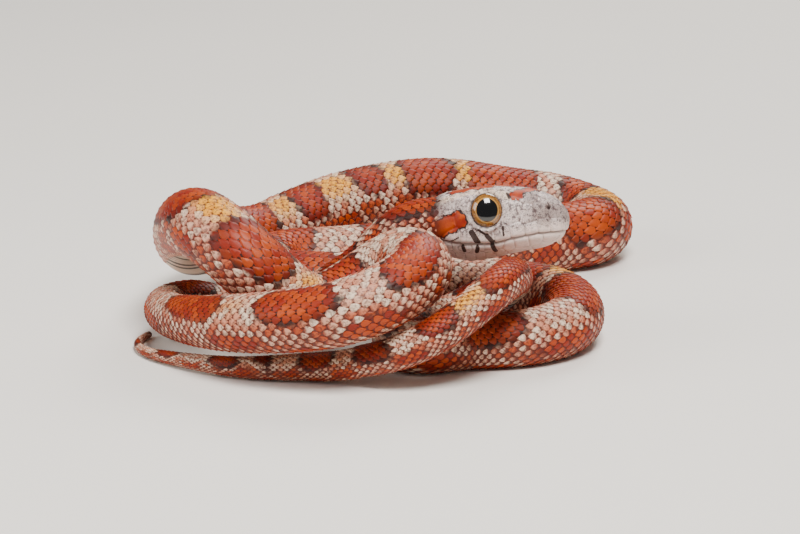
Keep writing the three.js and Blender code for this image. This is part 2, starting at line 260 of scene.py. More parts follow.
def surface(s, angle, height):
    """Points over the whole skin: s runs back from the neck joint, and below 0 it runs along the head."""
    s, angle, height = np.broadcast_arrays(*(np.asarray(v, float) for v in (s, angle, height)))
    back_s = np.clip(s, 0, SPINE_LENGTH)
    centre, back, side, radius = body_frame(back_s)
    up = np.cos(angle)
    flat = np.where(up < 0, up * BELLY_FLAT, up)
    round_side = radius * np.sin(angle)
    round_up = radius * flat
    rear_side, rear_up = head_outline(np.zeros_like(angle), angle)
    blend = smoothstep(s, 0, NECK_TURN)
    out_side = round_side * blend + rear_side * (1 - blend)
    out_up = round_up * blend + rear_up * (1 - blend)
    grow = (radius + height) / radius
    body = centre + side * (out_side * grow)[..., None] + back * (out_up * grow)[..., None]
    head_s = np.clip(-s, 0, HEAD_LENGTH)
    head_across, head_up = head_outline(head_s, angle)
    length = np.maximum(np.hypot(head_across, head_up), 1e-6)
    grow = (length + height * np.minimum(1, length)) / length
    head = HEAD_REAR + FORWARD * head_s[..., None] + LEFT * (head_across * grow)[..., None]
    head = head + CROWN * (head_up * grow)[..., None]
    return np.where((s < 0)[..., None], head, body)


def on_floor(points):
    points = points.copy()
    points[..., 2] = np.maximum(points[..., 2], FLOOR_CLEAR)
    return points


def make_mesh(name, points, faces, finish, levels):
    """A mesh piece from points in millimetres, quads or triangles, and named levels for its finish."""
    mesh = bpy.data.meshes.new(name)
    mesh.from_pydata([], [], [])
    count = len(points)
    sides = faces.shape[1]
    mesh.vertices.add(count)
    mesh.vertices.foreach_set("co", ((points - MIDDLE) * MM).astype(np.float32).ravel())
    mesh.loops.add(faces.size)
    mesh.loops.foreach_set("vertex_index", faces.astype(np.int32).ravel())
    mesh.polygons.add(len(faces))
    mesh.polygons.foreach_set("loop_start", np.arange(0, faces.size, sides, dtype=np.int32))
    mesh.polygons.foreach_set("use_smooth", np.full(len(faces), True))
    mesh.update(calc_edges=True)
    mesh.validate()
    for level, values in levels.items():
        attribute = mesh.attributes.new(level, "FLOAT", "POINT")
        attribute.data.foreach_set("value", np.asarray(values, np.float32).ravel())
    mesh.materials.append(finish)
    piece = bpy.data.objects.new(name, mesh)
    bpy.context.scene.collection.objects.link(piece)
    return piece


# Markings

def wave(s, angle, seed):
    """A slow, smooth waver in millimetres that keeps the markings' edges from being even."""
    a = np.sin(s * 0.61 + seed * 2.1 + 2.2 * np.sin(angle * 1.7 + seed))
    b = np.sin(s * 1.37 - seed * 1.3 + 3 * angle)
    return 0.35 * a + 0.22 * b


def nearest_saddle(s):
    middle = np.clip(np.searchsorted(SADDLE_PLACE, s), 1, len(SADDLE_PLACE) - 1)
    before = SADDLE_PLACE[middle - 1]
    after = SADDLE_PLACE[middle]
    index = np.where(s - before < after - s, middle - 1, middle)
    return index, before, after


def saddle_edge(s, angle):
    """Distance in millimetres outside the nearest dark saddle, and below 0 within it."""
    index, _, _ = nearest_saddle(s)
    half = SADDLE_HALF[index]
    uneven = 1 + 0.08 * np.sin(index * 4.1 + np.sign(angle))
    turn = np.abs(np.degrees(angle)) / (SADDLE_TURN[index] * uneven)
    reach = ((np.abs(s - SADDLE_PLACE[index]) / half) ** 3 + turn ** 3) ** (1 / 3)
    return (reach - 1) * half + wave(s, angle, 1.0) * 0.7


def blotch_edge(s, angle):
    """The same for the smaller blotches on the flanks, set between and below the saddles."""
    index, before, after = nearest_saddle(s)
    middle = (before + after) / 2
    gap = after - before
    turn = np.abs(np.degrees(angle))
    high = np.hypot((s - middle) / (gap * 0.19), (turn - 78) / 20) - 1
    low = np.hypot((s - SADDLE_PLACE[index]) / (gap * 0.16), (turn - 112) / 12) - 1
    return np.minimum(high * gap * 0.19, low * gap * 0.16) + wave(s, angle, 4.0) * 0.7


def gold_level(s, angle):
    level = np.zeros(s.shape)
    for middle, side, strength in GOLD:
        away = np.hypot((s - middle) / GOLD_HALF, (np.degrees(angle) - side) / GOLD_TURN)
        level = np.maximum(level, strength * np.exp(-away ** 2))
    return level


def body_levels(s, angle, own_s, own_angle, chance, rim, front):
    """The finish's levels for points at s and angle, on scales whose middles are at own_s and own_angle."""
    edge = 0.3 * saddle_edge(s, angle) + 0.7 * saddle_edge(own_s, own_angle)
    blotch = 0.3 * blotch_edge(s, angle) + 0.7 * blotch_edge(own_s, own_angle)
    turn = np.abs(np.degrees(angle))
    either_side = np.sign(own_angle) * np.sign(np.sin(own_s * 0.9))
    check = np.sin(own_s * 2.1 + 0.8 * np.sin(own_s * 0.37)) * either_side
    return {
        "saddle": edge,
        "blotch": blotch,
        "flank": turn / 180,
        "gold": gold_level(own_s, own_angle),
        "chance": chance,
        "rim": rim,
        "front": front,
        "belly_check": smoothstep(check, 0.25, 0.5) * smoothstep(turn, 136, 142),
    }


# Shader building

class Level:
    """A number that varies over a surface, so that shader maths reads as an expression."""

    def __init__(self, finish, socket):
        self.finish = finish
        self.socket = socket

    def maths(self, operation, first, second):
        node = self.finish.node("ShaderNodeMath", {"operation": operation}, {0: first, 1: second})
        return Level(self.finish, node.outputs[0])

    def __add__(self, other):
        return self.maths("ADD", self, other)

    __radd__ = __add__

    def __sub__(self, other):
        return self.maths("SUBTRACT", self, other)

    def __rsub__(self, other):
        return self.maths("SUBTRACT", other, self)

    def __mul__(self, other):
        return self.maths("MULTIPLY", self, other)

    __rmul__ = __mul__

    def either(self, other):
        return self.maths("MAXIMUM", self, other)

    def rise(self, low, high):
        """0 below low, 1 above high, smooth between; low may be above high."""
        if low > high:
            return 1 - self.rise(high, low)
        settings = {"interpolation_type": "SMOOTHSTEP"}
        sockets = {"Value": self, "From Min": low, "From Max": high}
        node = self.finish.node("ShaderNodeMapRange", settings, sockets)
        return Level(self.finish, node.outputs["Result"])


class Finish:
    """A material under construction."""

    def __init__(self, name):
        self.material = bpy.data.materials.new(name)
        self.material.use_nodes = True
        self.tree = self.material.node_tree
        self.shader = self.tree.nodes["Principled BSDF"]
        self.place = self.node("ShaderNodeTexCoord", {}, {}).outputs["Object"]

    def plug(self, socket, value):
        if isinstance(value, Level):
            value = value.socket
        if isinstance(value, bpy.types.NodeSocket):
            self.tree.links.new(value, socket)
        else:
            socket.default_value = value

    def node(self, kind, settings, sockets):
        made = self.tree.nodes.new(kind)
        for key, value in settings.items():
            setattr(made, key, value)
        for key, value in sockets.items():
            self.plug(made.inputs[key], value)
        return made

    def level(self, name):
        made = self.node("ShaderNodeAttribute", {"attribute_name": name}, {})
        return Level(self, made.outputs["Fac"])

    def noise(self, size, detail=2.0, roughness=0.5):
        """Noise from 0 to 1 with features of the given size in millimetres."""
        sockets = {"Vector": self.place, "Scale": 1 / (size * MM), "Detail": detail, "Roughness": roughness}
        made = self.node("ShaderNodeTexNoise", {}, sockets)
        return Level(self, made.outputs["Fac"])

    def mix(self, share, first, second):
        """Colour from first to second as share goes from 0 to 1."""
        made = self.node("ShaderNodeMix", {"data_type": "RGBA"}, {0: share, 6: first, 7: second})
        return made.outputs[2]

    def bump(self, height, strength, distance):
        sockets = {"Height": height, "Strength": strength, "Distance": distance * MM}
        return self.node("ShaderNodeBump", {}, sockets).outputs["Normal"]

    def done(self, **sockets):
        for key, value in sockets.items():
            self.plug(self.shader.inputs[key.replace("_", " ")], value)
        return self.material


def paint(code):
    """A linear colour from a hex code such as b8331a."""
    parts = [int(code[i:i + 2], 16) / 255 for i in (0, 2, 4)]
    return tuple(((p + 0.055) / 1.055) ** 2.4 if p > 0.04045 else p / 12.92 for p in parts) + (1.0,)


SADDLE_RED = paint("861c02")
SADDLE_DEEP = paint("4a0a02")
SADDLE_ORANGE = paint("b04404")
BORDER = paint("1a0606")
CREAM = paint("e8ccb2")
PINK = paint("cf8a6c")
PEPPER = paint("4a211b")
FLANK_ORANGE = paint("b04004")
FLANK_RED = paint("8c2406")
YELLOW = paint("f0a206")
BETWEEN = paint("521004")
HEAD_PALE = paint("e2d0ca")
HEAD_GREY = paint("a08e88")
HEAD_LIP = paint("eed6cc")
HEAD_SPECK = paint("46363a")
MARK_BROWN = paint("230b08")


# The plain numbers of the skin's shader: a faint coat and a little light under the surface.
SKIN_SHEEN = {"Coat_Weight": 0.03, "Coat_Roughness": 0.3, "Specular_IOR_Level": 0.3,
              "Subsurface_Weight": 0.06, "Subsurface_Scale": 0.0005}


def body_colour(finish, between):
    """The markings in colour, for scales or for the skin between them, with a painted highlight on the
    scales' rims inside the saddles.
    """
    saddle = finish.level("saddle")
    blotch = finish.level("blotch")
    flank = finish.level("flank")
    chance = finish.level("chance")
    rim = finish.level("rim")
    front = finish.level("front")
    slow = finish.noise(5.0, 2.0)
    fine = finish.noise(0.36, 4.0, 0.75)
    grain = finish.noise(0.1, 2.0, 0.6)
    belly = flank.rise(0.74, 0.82)
    pale = finish.mix((chance * 0.7 + slow * 0.5 + flank * 0.5 - belly).rise(0.35, 0.95), CREAM, PINK)
    pale = finish.mix((finish.level("gold") + slow * 0.3 - 0.15).rise(0.1, 0.75) * 0.92, pale, YELLOW)
    side = flank.rise(0.16, 0.3) * flank.rise(0.84, 0.74)
    pale = finish.mix(side * (chance * 0.8 + slow * 0.5).rise(0.76, 0.88) * 0.9, pale, FLANK_ORANGE)
    edge = front.rise(0.4, 0.7).either(rim.rise(0.35, 0.9))
    pale = finish.mix(edge * (0.3 + side * 0.6), pale, FLANK_RED)
    pale = finish.mix(fine.rise(0.47, 0.6) * 0.72 * flank.rise(0.84, 0.7), pale, PEPPER)
    red = finish.mix((chance * 0.5 + slow * 0.7).rise(0.35, 0.95), SADDLE_RED, SADDLE_ORANGE)
    red = finish.mix(saddle.rise(-1.5, -0.1) * 0.6, red, SADDLE_DEEP)
    red = finish.mix(fine.rise(0.5, 0.7) * 0.3, red, SADDLE_DEEP)
    spot = finish.mix((chance * 0.8 + slow * 0.4).rise(0.3, 0.9), FLANK_ORANGE, SADDLE_RED)
    colour = finish.mix(blotch.rise(0.12, -0.1), pale, spot)
    colour = finish.mix(saddle.rise(0.1, -0.08), colour, red)
    broken = (chance * 0.4 + finish.noise(1.1, 2.0) * 0.8).rise(0.42, 0.66)
    line = saddle.rise(-0.42, -0.02) * saddle.rise(0.5, 0.12)
    faint = blotch.rise(-0.3, 0.0) * blotch.rise(0.4, 0.1) * 0.5
    colour = finish.mix(line.either(faint) * broken * 0.92, colour, BORDER)
    colour = finish.mix(finish.level("belly_check") * 0.9, colour, BORDER)
    if between:
        tint = finish.mix(saddle.rise(0.2, -0.2), BETWEEN, BORDER)
        colour = finish.mix(0.93 - belly * 0.6, colour, tint)
    else:
        # Painted highlight: inside the saddles the scales' rims are lightened towards orange, standing in for
        # gloss on their edges.
        light = finish.mix(saddle.rise(0.2, -0.2), CREAM, SADDLE_ORANGE)
        colour = finish.mix(rim.rise(0.75, 1.0) * saddle.rise(0.2, -0.2) * 0.3, colour, light)
    return colour, fine, grain


def scale_finish():
    finish = Finish("scaled back")
    colour, fine, grain = body_colour(finish, between=False)
    rough = 0.4 + fine * 0.14 + finish.level("rim") * 0.08
    normal = finish.bump(fine * 0.6 + grain * 0.4, 0.25, 0.05)
    return finish.done(Base_Color=colour, Roughness=rough, Normal=normal, **SKIN_SHEEN)


def skin_finish():
    """The skin under the scales, and the plates of the head."""
    finish = Finish("snake skin")
    colour, fine, _ = body_colour(finish, between=True)
    seam = finish.level("seam")
    cell = finish.level("cell")
    slow = finish.noise(1.6, 3.0, 0.6)
    speck = finish.noise(0.42, 4.0, 0.8)
    dust = finish.noise(0.14, 2.0, 0.6)
    greyed = cell * 0.35 + slow * 0.9 + finish.level("snout") * 0.3
    plate = finish.mix(greyed.rise(0.5, 1.05), HEAD_PALE, HEAD_GREY)
    plate = finish.mix(finish.level("lip_pale"), plate, HEAD_LIP)
    plate = finish.mix(finish.level("mark_cream"), plate, CREAM)
    spotted = (speck.rise(0.49, 0.58) * 0.85).either(dust.rise(0.52, 0.64) * 0.6)
    plate = finish.mix(spotted * finish.level("speckled"), plate, HEAD_SPECK)
    orange = finish.mix(slow.rise(0.35, 0.65), SADDLE_RED, SADDLE_ORANGE)
    waver = (finish.noise(0.6, 3.0) - 0.5) * 0.7
    plate = finish.mix((finish.level("mark_orange") + waver).rise(0.42, 0.58), plate, orange)
    plate = finish.mix((finish.level("mark_dark") + waver).rise(0.46, 0.6) * 0.94, plate, MARK_BROWN)
    plate = finish.mix(seam.rise(0.4, 0.95) * 0.45, plate, PEPPER)
    # Painted shade: the mouth's groove, the nostrils and the eye sockets are darkened.
    plate = finish.mix(finish.level("hollow_shade"), plate, MARK_BROWN)
    colour = finish.mix(finish.level("head_share"), colour, plate)
    rough = 0.38 + fine * 0.16
    normal = finish.bump(fine * 0.5 + speck * 0.5, 0.3, 0.05)
    return finish.done(Base_Color=colour, Roughness=rough, Normal=normal, **SKIN_SHEEN)


def eye_finish():
    finish = Finish("eye")
    reach = finish.level("reach")
    turn = finish.noise(0.35, 3.0, 0.6)
    streak = finish.noise(0.12, 2.0, 0.6)
    iris = finish.mix((turn * 0.7 + streak * 0.5).rise(0.4, 0.8), paint("5c3412"), paint("a8742e"))
    iris = finish.mix(turn.rise(0.56, 0.66) * 0.6, iris, paint("7a2408"))
    iris = finish.mix(reach.rise(0.78, 0.70) * 0.6, iris, paint("c89650"))
    iris = finish.mix(reach.rise(0.88, 0.98), iris, paint("1c0c08"))
    colour = finish.mix(reach.rise(0.68, 0.65), iris, paint("030202"))
    return finish.done(Base_Color=colour, Roughness=0.1, Coat_Weight=1.0, Coat_Roughness=0.02)


def floor_finish():
    finish = Finish("studio floor")
    colour = finish.mix(finish.noise(60.0, 2.0), paint("efebe5"), paint("f4f0ea"))
    return finish.done(Base_Color=colour, Roughness=0.8)


# The middles of the head's plates. On top and under the chin: distance from the neck, degrees from the top
# and size. On the side: distance, height and size. A larger size claims more of the surface.
TOP_PLATES = (("frontal", 7.7, 0, 1.5), ("parietal", 3.9, 24, 1.75), ("supraocular", 7.2, 40, 1.05),
              ("prefrontal", 10.5, 24, 1.3), ("internasal", 12.9, 28, 1.0),
              ("chin_front", 12.3, 160, 1.2), ("chin_rear", 9.6, 163, 1.2))
SIDE_PLATES = (("rostral", 15.0, -0.2, 1.0), ("nasal_front", 13.7, 1.0, 0.7),
               ("nasal_rear", 12.3, 1.1, 0.75), ("loreal", 10.8, 0.6, 0.9), ("preocular", 9.0, 1.1, 1.0),
               ("postocular_high", 3.7, 2.1, 0.7), ("postocular_low", 3.7, 0.5, 0.7),
               ("temporal_high", 1.9, 1.7, 1.0), ("temporal_low", 1.9, 0.1, 1.0), ("mental", 14.9, -2.2, 0.8))
UPPER_LIP = (13.8, 12.5, 11.1, 9.6, 8.0, 6.2, 4.4, 2.5)
LOWER_LIP = (14.1, 12.9, 11.5, 10.0, 8.4, 6.7, 4.9, 3.0)
LIP_HEIGHT = 0.75


def plate_middles():
    """Middles of all plates as (forward, side, up, size, above the mouth)."""
    found = []
    for _, along, degrees, size in TOP_PLATES:
        side, up = head_outline(np.array(float(along)), math.radians(max(degrees, 0.01)))
        found.append((along, float(side), float(up), size, degrees < 90))
    for _, along, up, size in SIDE_PLATES:
        found.append((along, float(head_side(along, np.array(up))), up, size, up > -1.3))
    for lip, sign in ((UPPER_LIP, 1), (LOWER_LIP, -1)):
        for along in lip:
            up = float(on_list(MOUTH_LINE, along)) + sign * LIP_HEIGHT
            found.append((along, float(head_side(along, np.array(up))), up, 0.85, sign > 0))
    for along in np.arange(1.0, 8.5, 1.1):
        for degrees in (128, 142, 156, 170):
            side, up = head_outline(np.array(along), math.radians(degrees))
            found.append((along, float(side), float(up), 0.62, False))
    mirrored = [(a, -s, u, size, upper) for a, s, u, size, upper in found if s > 0.3]
    return np.array(found + mirrored, float)


def plate_relief(along, side, up, above_mouth):
    """How near each point is to a seam between plates, and a level for each plate."""
    places = np.stack([along, side, up], axis=-1).reshape(-1, 3)
    upper = above_mouth.reshape(-1)
    middles = plate_middles()
    reach = np.empty((len(places), len(middles)), np.float32)
    for k, (a, s, u, size, is_upper) in enumerate(middles):
        away = np.linalg.norm(places - (a, s, u), axis=1) / size
        reach[:, k] = away + np.where(upper == (is_upper > 0.5), 0, 6)
    order = np.argpartition(reach, 1, axis=1)[:, :2]
    pair = np.take_along_axis(reach, order, axis=1)
    nearest = np.where(pair[:, 0] < pair[:, 1], order[:, 0], order[:, 1])
    gap = np.abs(pair[:, 1] - pair[:, 0]) * middles[nearest, 3]
    cell = np.modf(np.abs(np.sin(nearest * 12.9898) * 43758.5))[0]
    return gap.reshape(along.shape), cell.reshape(along.shape)


# Head markings as strokes: start and end as (distance from the neck, height), half width, strength.
DARK_STROKES = ((5.5, -0.6, 6.3, -1.25, 0.13, 1.0), (6.3, -1.25, 6.9, -1.95, 0.24, 1.0),
                (4.7, -0.85, 5.3, -1.9, 0.3, 1.0), (3.65, -2.35, 3.75, -2.85, 0.2, 1.0),
                (5.2, -2.5, 5.1, -2.95, 0.22, 1.0), (6.8, -2.4, 7.1, -3.0, 0.22, 1.0),
                (8.05, -0.4, 8.1, -1.3, 0.16, 0.6), (0.4, 1.0, 0.9, 1.5, 0.25, 0.9),
                (2.2, -1.75, 3.2, -1.3, 0.1, 0.8), (0.9, -1.5, 2.2, -1.75, 0.1, 0.7))
# The orange blotch behind the eye: distance and height of both ends, half width.
BLOTCH_BEHIND_EYE = (1.0, -0.35, 3.3, 0.5, 0.98)
# The crown's spear as two strokes on each side, an arm and the head of it: distance and side of both ends.
SPEAR_ARM = (3.1, 1.5, 6.2, 1.3)
SPEAR_HEAD = (6.2, 0.75, 8.2, 0.25)
SPEAR_HALF = 0.95
# The orange band from above each eye to the middle of the snout: distance and side of both ends, half width.
BROW_BAND = (9.3, 2.8, 11.3, 0.9, 0.45)


def stroke_distance(x, y, x0, y0, x1, y1):
    run = np.array([x1 - x0, y1 - y0])
    share = np.clip(((x - x0) * run[0] + (y - y0) * run[1]) / (run @ run), 0, 1)
    return np.hypot(x - x0 - share * run[0], y - y0 - share * run[1])


def stroke_level(x, y, strokes):
    level = np.zeros_like(x)
    for x0, y0, x1, y1, width, strength in strokes:
        away = stroke_distance(x, y, x0, y0, x1, y1)
        level = np.maximum(level, strength * smoothstep(-away, -width * 1.5, -width * 0.6))
    return level


def ridge(distance, middle, half):
    """1 where a distance is near its middle value, falling to 0 at half to either side."""
    return 1 - smoothstep(np.abs(distance - middle), half * 0.4, half)


def wobble(x, y):
    """A small waver in millimetres for the outlines of the head's markings."""
    wide = 0.12 * np.sin(4.1 * x + 2.3 * y + 1)
    return wide + 0.09 * np.sin(7.3 * y - 3.7 * x) + 0.06 * np.sin(11 * x + 5 * y)


def head_marks(along, side, up):
    """Levels for the head's orange, dark and cream markings."""
    on_side = smoothstep(np.abs(side), 1.6, 2.4)
    x0, y0, x1, y1, half = BLOTCH_BEHIND_EYE
    blotch = stroke_distance(along, up, x0, y0, x1, y1) + wobble(along, up)
    blotch_in = (1 - smoothstep(blotch, half * 0.86, half * 1.02)) * on_side
    blotch_line = ridge(blotch, half, 0.2) * on_side
    dark = stroke_level(along, up, DARK_STROKES) * on_side
    top = smoothstep(up, 2.0, 2.7)
    across = np.abs(side)
    arm = stroke_distance(along, across, *SPEAR_ARM)
    point = stroke_distance(along, across, *SPEAR_HEAD)
    spear_reach = np.minimum(arm, point) + wobble(along, side) - SPEAR_HALF
    spear = (1 - smoothstep(spear_reach, -0.1, 0.1)) * top
    spear_line = ridge(spear_reach, 0.05, 0.2) * top
    x0, y0, x1, y1, half = BROW_BAND
    band = stroke_distance(along, across, x0, y0, x1, y1)
    bridge = stroke_distance(along, across, x1, y1, x1 + 0.2, -0.1)
    band = np.minimum(band, bridge) + wobble(along, side)
    band_in = (1 - smoothstep(band, half * 0.8, half * 1.05)) * top
    band_line = ridge(band, half * 1.1, 0.22) * top
    orange = np.maximum(np.maximum(blotch_in, band_in), spear)
    cream = ridge(across, 2.9, 0.6) * smoothstep(-along, -9.5, -8.5) * top
    line = np.maximum(np.maximum(blotch_line, 0.62 * spear_line), 0.62 * band_line)
    return orange, np.maximum(dark, line), cream * 0.7


def head_relief(along, side, up):
    """How far the head's skin stands off its outline, with the levels that go with it."""
    mouth = on_list(MOUTH_LINE, along)
    above = up - mouth
    at_mouth = smoothstep(along, MOUTH_CORNER, MOUTH_CORNER + 0.8)
    on_side = smoothstep(np.abs(side), 0.2, 0.6)
    groove = np.exp(-((above / 0.11) ** 2)) * at_mouth
    lips = np.exp(-(((np.abs(above) - 0.45) / 0.3) ** 2)) * at_mouth
    gap, cell = plate_relief(along, side, up, above > 0)
    seam = np.exp(-((gap / 0.1) ** 2))
    dome = 1 - np.exp(-((gap / 0.35) ** 2))
    eye = np.hypot((along - EYE_ALONG) / EYE_LONG, (up - EYE_UP) / EYE_TALL) + (np.abs(side) < 1.5) * 9
    socket = 1 - smoothstep(eye, 0.84, 1.0)
    rim = np.exp(-(((eye - 1.12) / 0.09) ** 2))
    brow = np.exp(-(((eye - 1.42) / 0.2) ** 2)) * smoothstep(up, EYE_UP + 1.0, EYE_UP + 2.0)
    lore = np.exp(-((along - 10.2) / 1.5) ** 2 - ((up - 0.7) / 0.9) ** 2) * on_side
    jowl = np.exp(-((along - 3.2) / 1.8) ** 2 - ((up + 1.2) / 1.1) ** 2) * on_side
    pit = np.hypot((along - NOSTRIL[0]) / 0.3, (up - NOSTRIL[1]) / 0.34) + (np.abs(side) < 0.8) * 9
    nostril = 1 - smoothstep(pit, 0.35, 1.0)
    nose_rim = np.exp(-(((pit - 1.35) / 0.35) ** 2))
    near_eye = 1 - smoothstep(eye, 1.2, 1.35)
    seam = seam * (1 - near_eye) * (1 - socket)
    height = dome * 0.05 - seam * 0.07 - groove * 0.26 + lips * 0.08
    height = height + rim * 0.2 + brow * 0.12 - socket * 1.1 - lore * 0.16 + jowl * 0.15
    height = height - nostril * 0.34 + nose_rim * 0.06
    levels = {
        "seam": seam * (1 - groove),
        "cell": cell,
        # Painted shade for the mouth's groove, the nostrils and the eye sockets.
        "hollow_shade": np.clip(groove * 0.6 + nostril * 0.95 + socket, 0, 1),
        "lip_pale": (1 - smoothstep(above, 0.5, 1.5)) * 0.85,
        "speckled": 0.12 + 0.88 * smoothstep(above, 0.2, 1.3),
        "snout": smoothstep(along, 9.5, 13.0),
    }
    return height, levels


def skin_rings():
    """s of every ring of the skin, from the snout back to the tip of the tail."""
    inner = np.arange(HEAD_STEP, HEAD_LENGTH - NOSE_LENGTH, HEAD_STEP)
    share = np.linspace(0, 1, NOSE_RINGS + 1)[:-1]
    nose = HEAD_LENGTH - NOSE_LENGTH + NOSE_LENGTH * np.sin(share * math.pi / 2)
    head = np.unique(np.concatenate([inner, nose]))[::-1]
    steps = int(SPINE_LENGTH / BODY_STEP)
    return np.concatenate([-head, np.linspace(0, SPINE_LENGTH, steps)])


def make_skin(finish):
    rings = skin_rings()
    angles = np.linspace(0, 2 * math.pi, AROUND, endpoint=False)
    s, angle = np.meshgrid(rings, angles, indexing="ij")
    signed = np.where(angle > math.pi, angle - 2 * math.pi, angle)
    along = np.clip(-s, 0, HEAD_LENGTH)
    side, up = head_outline(along, signed)
    relief, levels = head_relief(along, side, up)
    share = smoothstep(-s, 0.3, 2.2)
    height = np.where(s < 0, relief * smoothstep(-s, 0, 1.6), 0) - COAT * (1 - share)
    points = on_floor(surface(s, signed, height))
    count = AROUND
    total = len(rings)
    row = np.arange(total - 1)[:, None] * count
    here = np.arange(count)[None, :]
    there = (here + 1) % count
    corners = [row + here, row + there, row + count + there, row + count + here]
    faces = np.stack(corners, axis=-1).reshape(-1, 4)
    orange, dark, cream = head_marks(along, side, up)
    chance = np.full(s.shape, 0.5)
    none = np.zeros(s.shape)
    levels.update(body_levels(s, signed, s, signed, chance, none, none))
    levels.update({"head_share": share, "mark_orange": orange, "mark_dark": dark, "mark_cream": cream})
    flat = points.reshape(-1, 3)
    tips = np.stack([points[0].mean(axis=0), points[-1].mean(axis=0)])
    cap_faces = []
    for k in range(0, count, 2):
        first, second, third = k, (k + 1) % count, (k + 2) % count
        cap_faces.append((total * count, third, second, first))
        last = (total - 1) * count
        cap_faces.append((total * count + 1, last + first, last + second, last + third))
    faces = np.vstack([faces, np.array(cap_faces)])
    for key, values in levels.items():
        values = np.broadcast_to(values, s.shape)
        levels[key] = np.concatenate([values.ravel(), [values[0, 0], values[-1, 0]]])
    return make_mesh("snake_skin", np.vstack([flat, tips]), faces, finish, levels)


# Scales

def ring_step(s):
    """Spacing of the rings of scales, which grows with the body's thickness."""
    return 0.5 + 0.135 * smooth_list(GIRTH, s, GIRTH_BLEND)


def scale_rings():
    rings = [FIRST_RING]
    while rings[-1] < SPINE_LENGTH - 0.6:
        rings.append(rings[-1] + float(ring_step(rings[-1])))
    return np.array(rings)


def template(lengthwise, across, profile):
    """One scale's grid as (u, v, width share), with the skirt round its sides and rear."""
    u = np.array(lengthwise)
    v = np.array(across)
    uu, vv = np.meshgrid(u, v, indexing="ij")
    width = np.interp(uu, *zip(*profile))
    rows, columns = uu.shape
    index = np.arange(rows * columns).reshape(rows, columns)
    left = index[1:, 0]
    rear = index[-1, 1:-1]
    right = index[1:, -1][::-1]
    border = np.concatenate([left, rear, right])
    skirt = np.arange(len(border)) + rows * columns
    quads = []
    for i in range(rows - 1):
        for k in range(columns - 1):
            quads.append((index[i, k], index[i, k + 1], index[i + 1, k + 1], index[i + 1, k]))
    for k in range(len(border) - 1):
        quads.append((border[k], border[k + 1], skirt[k + 1], skirt[k]))
    u_all = np.concatenate([uu.ravel(), uu.ravel()[border]])
    v_all = np.concatenate([vv.ravel(), vv.ravel()[border]])
    w_all = np.concatenate([width.ravel(), width.ravel()[border]])
    hem = np.concatenate([np.zeros(rows * columns), np.ones(len(border))])
    return u_all, v_all, w_all, hem, np.array(quads)


SCALE_SHAPE = template((0, 0.3, 0.58, 0.84, 1.0), (-1, -0.6, 0, 0.6, 1),
                       ((0, 0.5), (0.3, 0.95), (0.58, 1.0), (0.84, 0.7), (1.0, 0.3)))
SCUTE_SHAPE = template((0, 0.4, 0.8, 1.0), np.linspace(-1, 1, 13),
                       ((0, 0.97), (0.4, 1.0), (0.8, 1.0), (1.0, 0.985)))


def scale_group(name, shape, own_s, own_angle, length, half_angle, lift, finish):
    """Many scales as one mesh: arrays of middles, lengths and half widths as angles."""
    u, v, width, hem, quads = shape
    draw = np.random.default_rng(len(own_s))
    chance = draw.random(len(own_s))
    tilt = 1 + LIFT_SPREAD * (draw.random(len(own_s)) - 0.5)
    back_off = SIDES_BACK * v ** 2 * u
    s = own_s[:, None] + (u - SCALE_MIDDLE - back_off)[None, :] * length[:, None]
    angle = own_angle[:, None] + (v * width)[None, :] * half_angle[:, None]
    crown = u ** 1.1 * (1 - 0.5 * v ** 2) + 0.12 * (1 - v ** 2)
    height = -COAT + lift[:, None] * tilt[:, None] * crown[None, :] - FRONT_DEEP * (1 - u)[None, :]
    height = np.where(hem[None, :] > 0, np.minimum(height, -COAT) - SKIRT_DEEP, height)
    s = np.clip(s, -HEAD_LENGTH, SPINE_LENGTH - 0.05)
    points = on_floor(surface(s, angle, height))
    rim = np.maximum(v ** 4, smoothstep(u, 0.8, 1.0))
    rim = np.broadcast_to(rim[None, :], s.shape)
    spread = np.broadcast_to
    whole_s = spread(own_s[:, None], s.shape)
    whole_angle = spread(own_angle[:, None], s.shape)
    levels = body_levels(s, angle, whole_s, whole_angle, spread(chance[:, None], s.shape), rim,
                         spread(1 - u[None, :], s.shape))
    count = len(u)
    faces = (quads[None, :, :] + (np.arange(len(own_s)) * count)[:, None, None]).reshape(-1, 4)
    piece = make_mesh(name, points.reshape(-1, 3), faces, finish, levels)
    bake_map(piece, own_s, own_angle, u, v, count)
    return piece


def bake_map(piece, own_s, own_angle, u, v, count):
    """The map OFBake: each scale a small patch at its middle's place on the unwrapped skin."""
    low, high = own_s.min(), own_s.max()
    place_u = 0.01 + 0.98 * (own_s - low) / (high - low)
    place_v = 0.01 + 0.98 * (own_angle / (2 * math.pi) + 0.5) % 1.0
    uv_u = place_u[:, None] + (u - 0.5)[None, :] * BAKE_PATCH
    uv_v = place_v[:, None] + v[None, :] * BAKE_PATCH / 2
    uv = np.stack([uv_u, uv_v], axis=-1).reshape(-1, 2)
    layer = piece.data.uv_layers.new(name="OFBake")
    corners = np.empty(len(piece.data.loops), np.int32)
    piece.data.loops.foreach_get("vertex_index", corners)
    layer.data.foreach_set("uv", uv[corners].astype(np.float32).ravel())


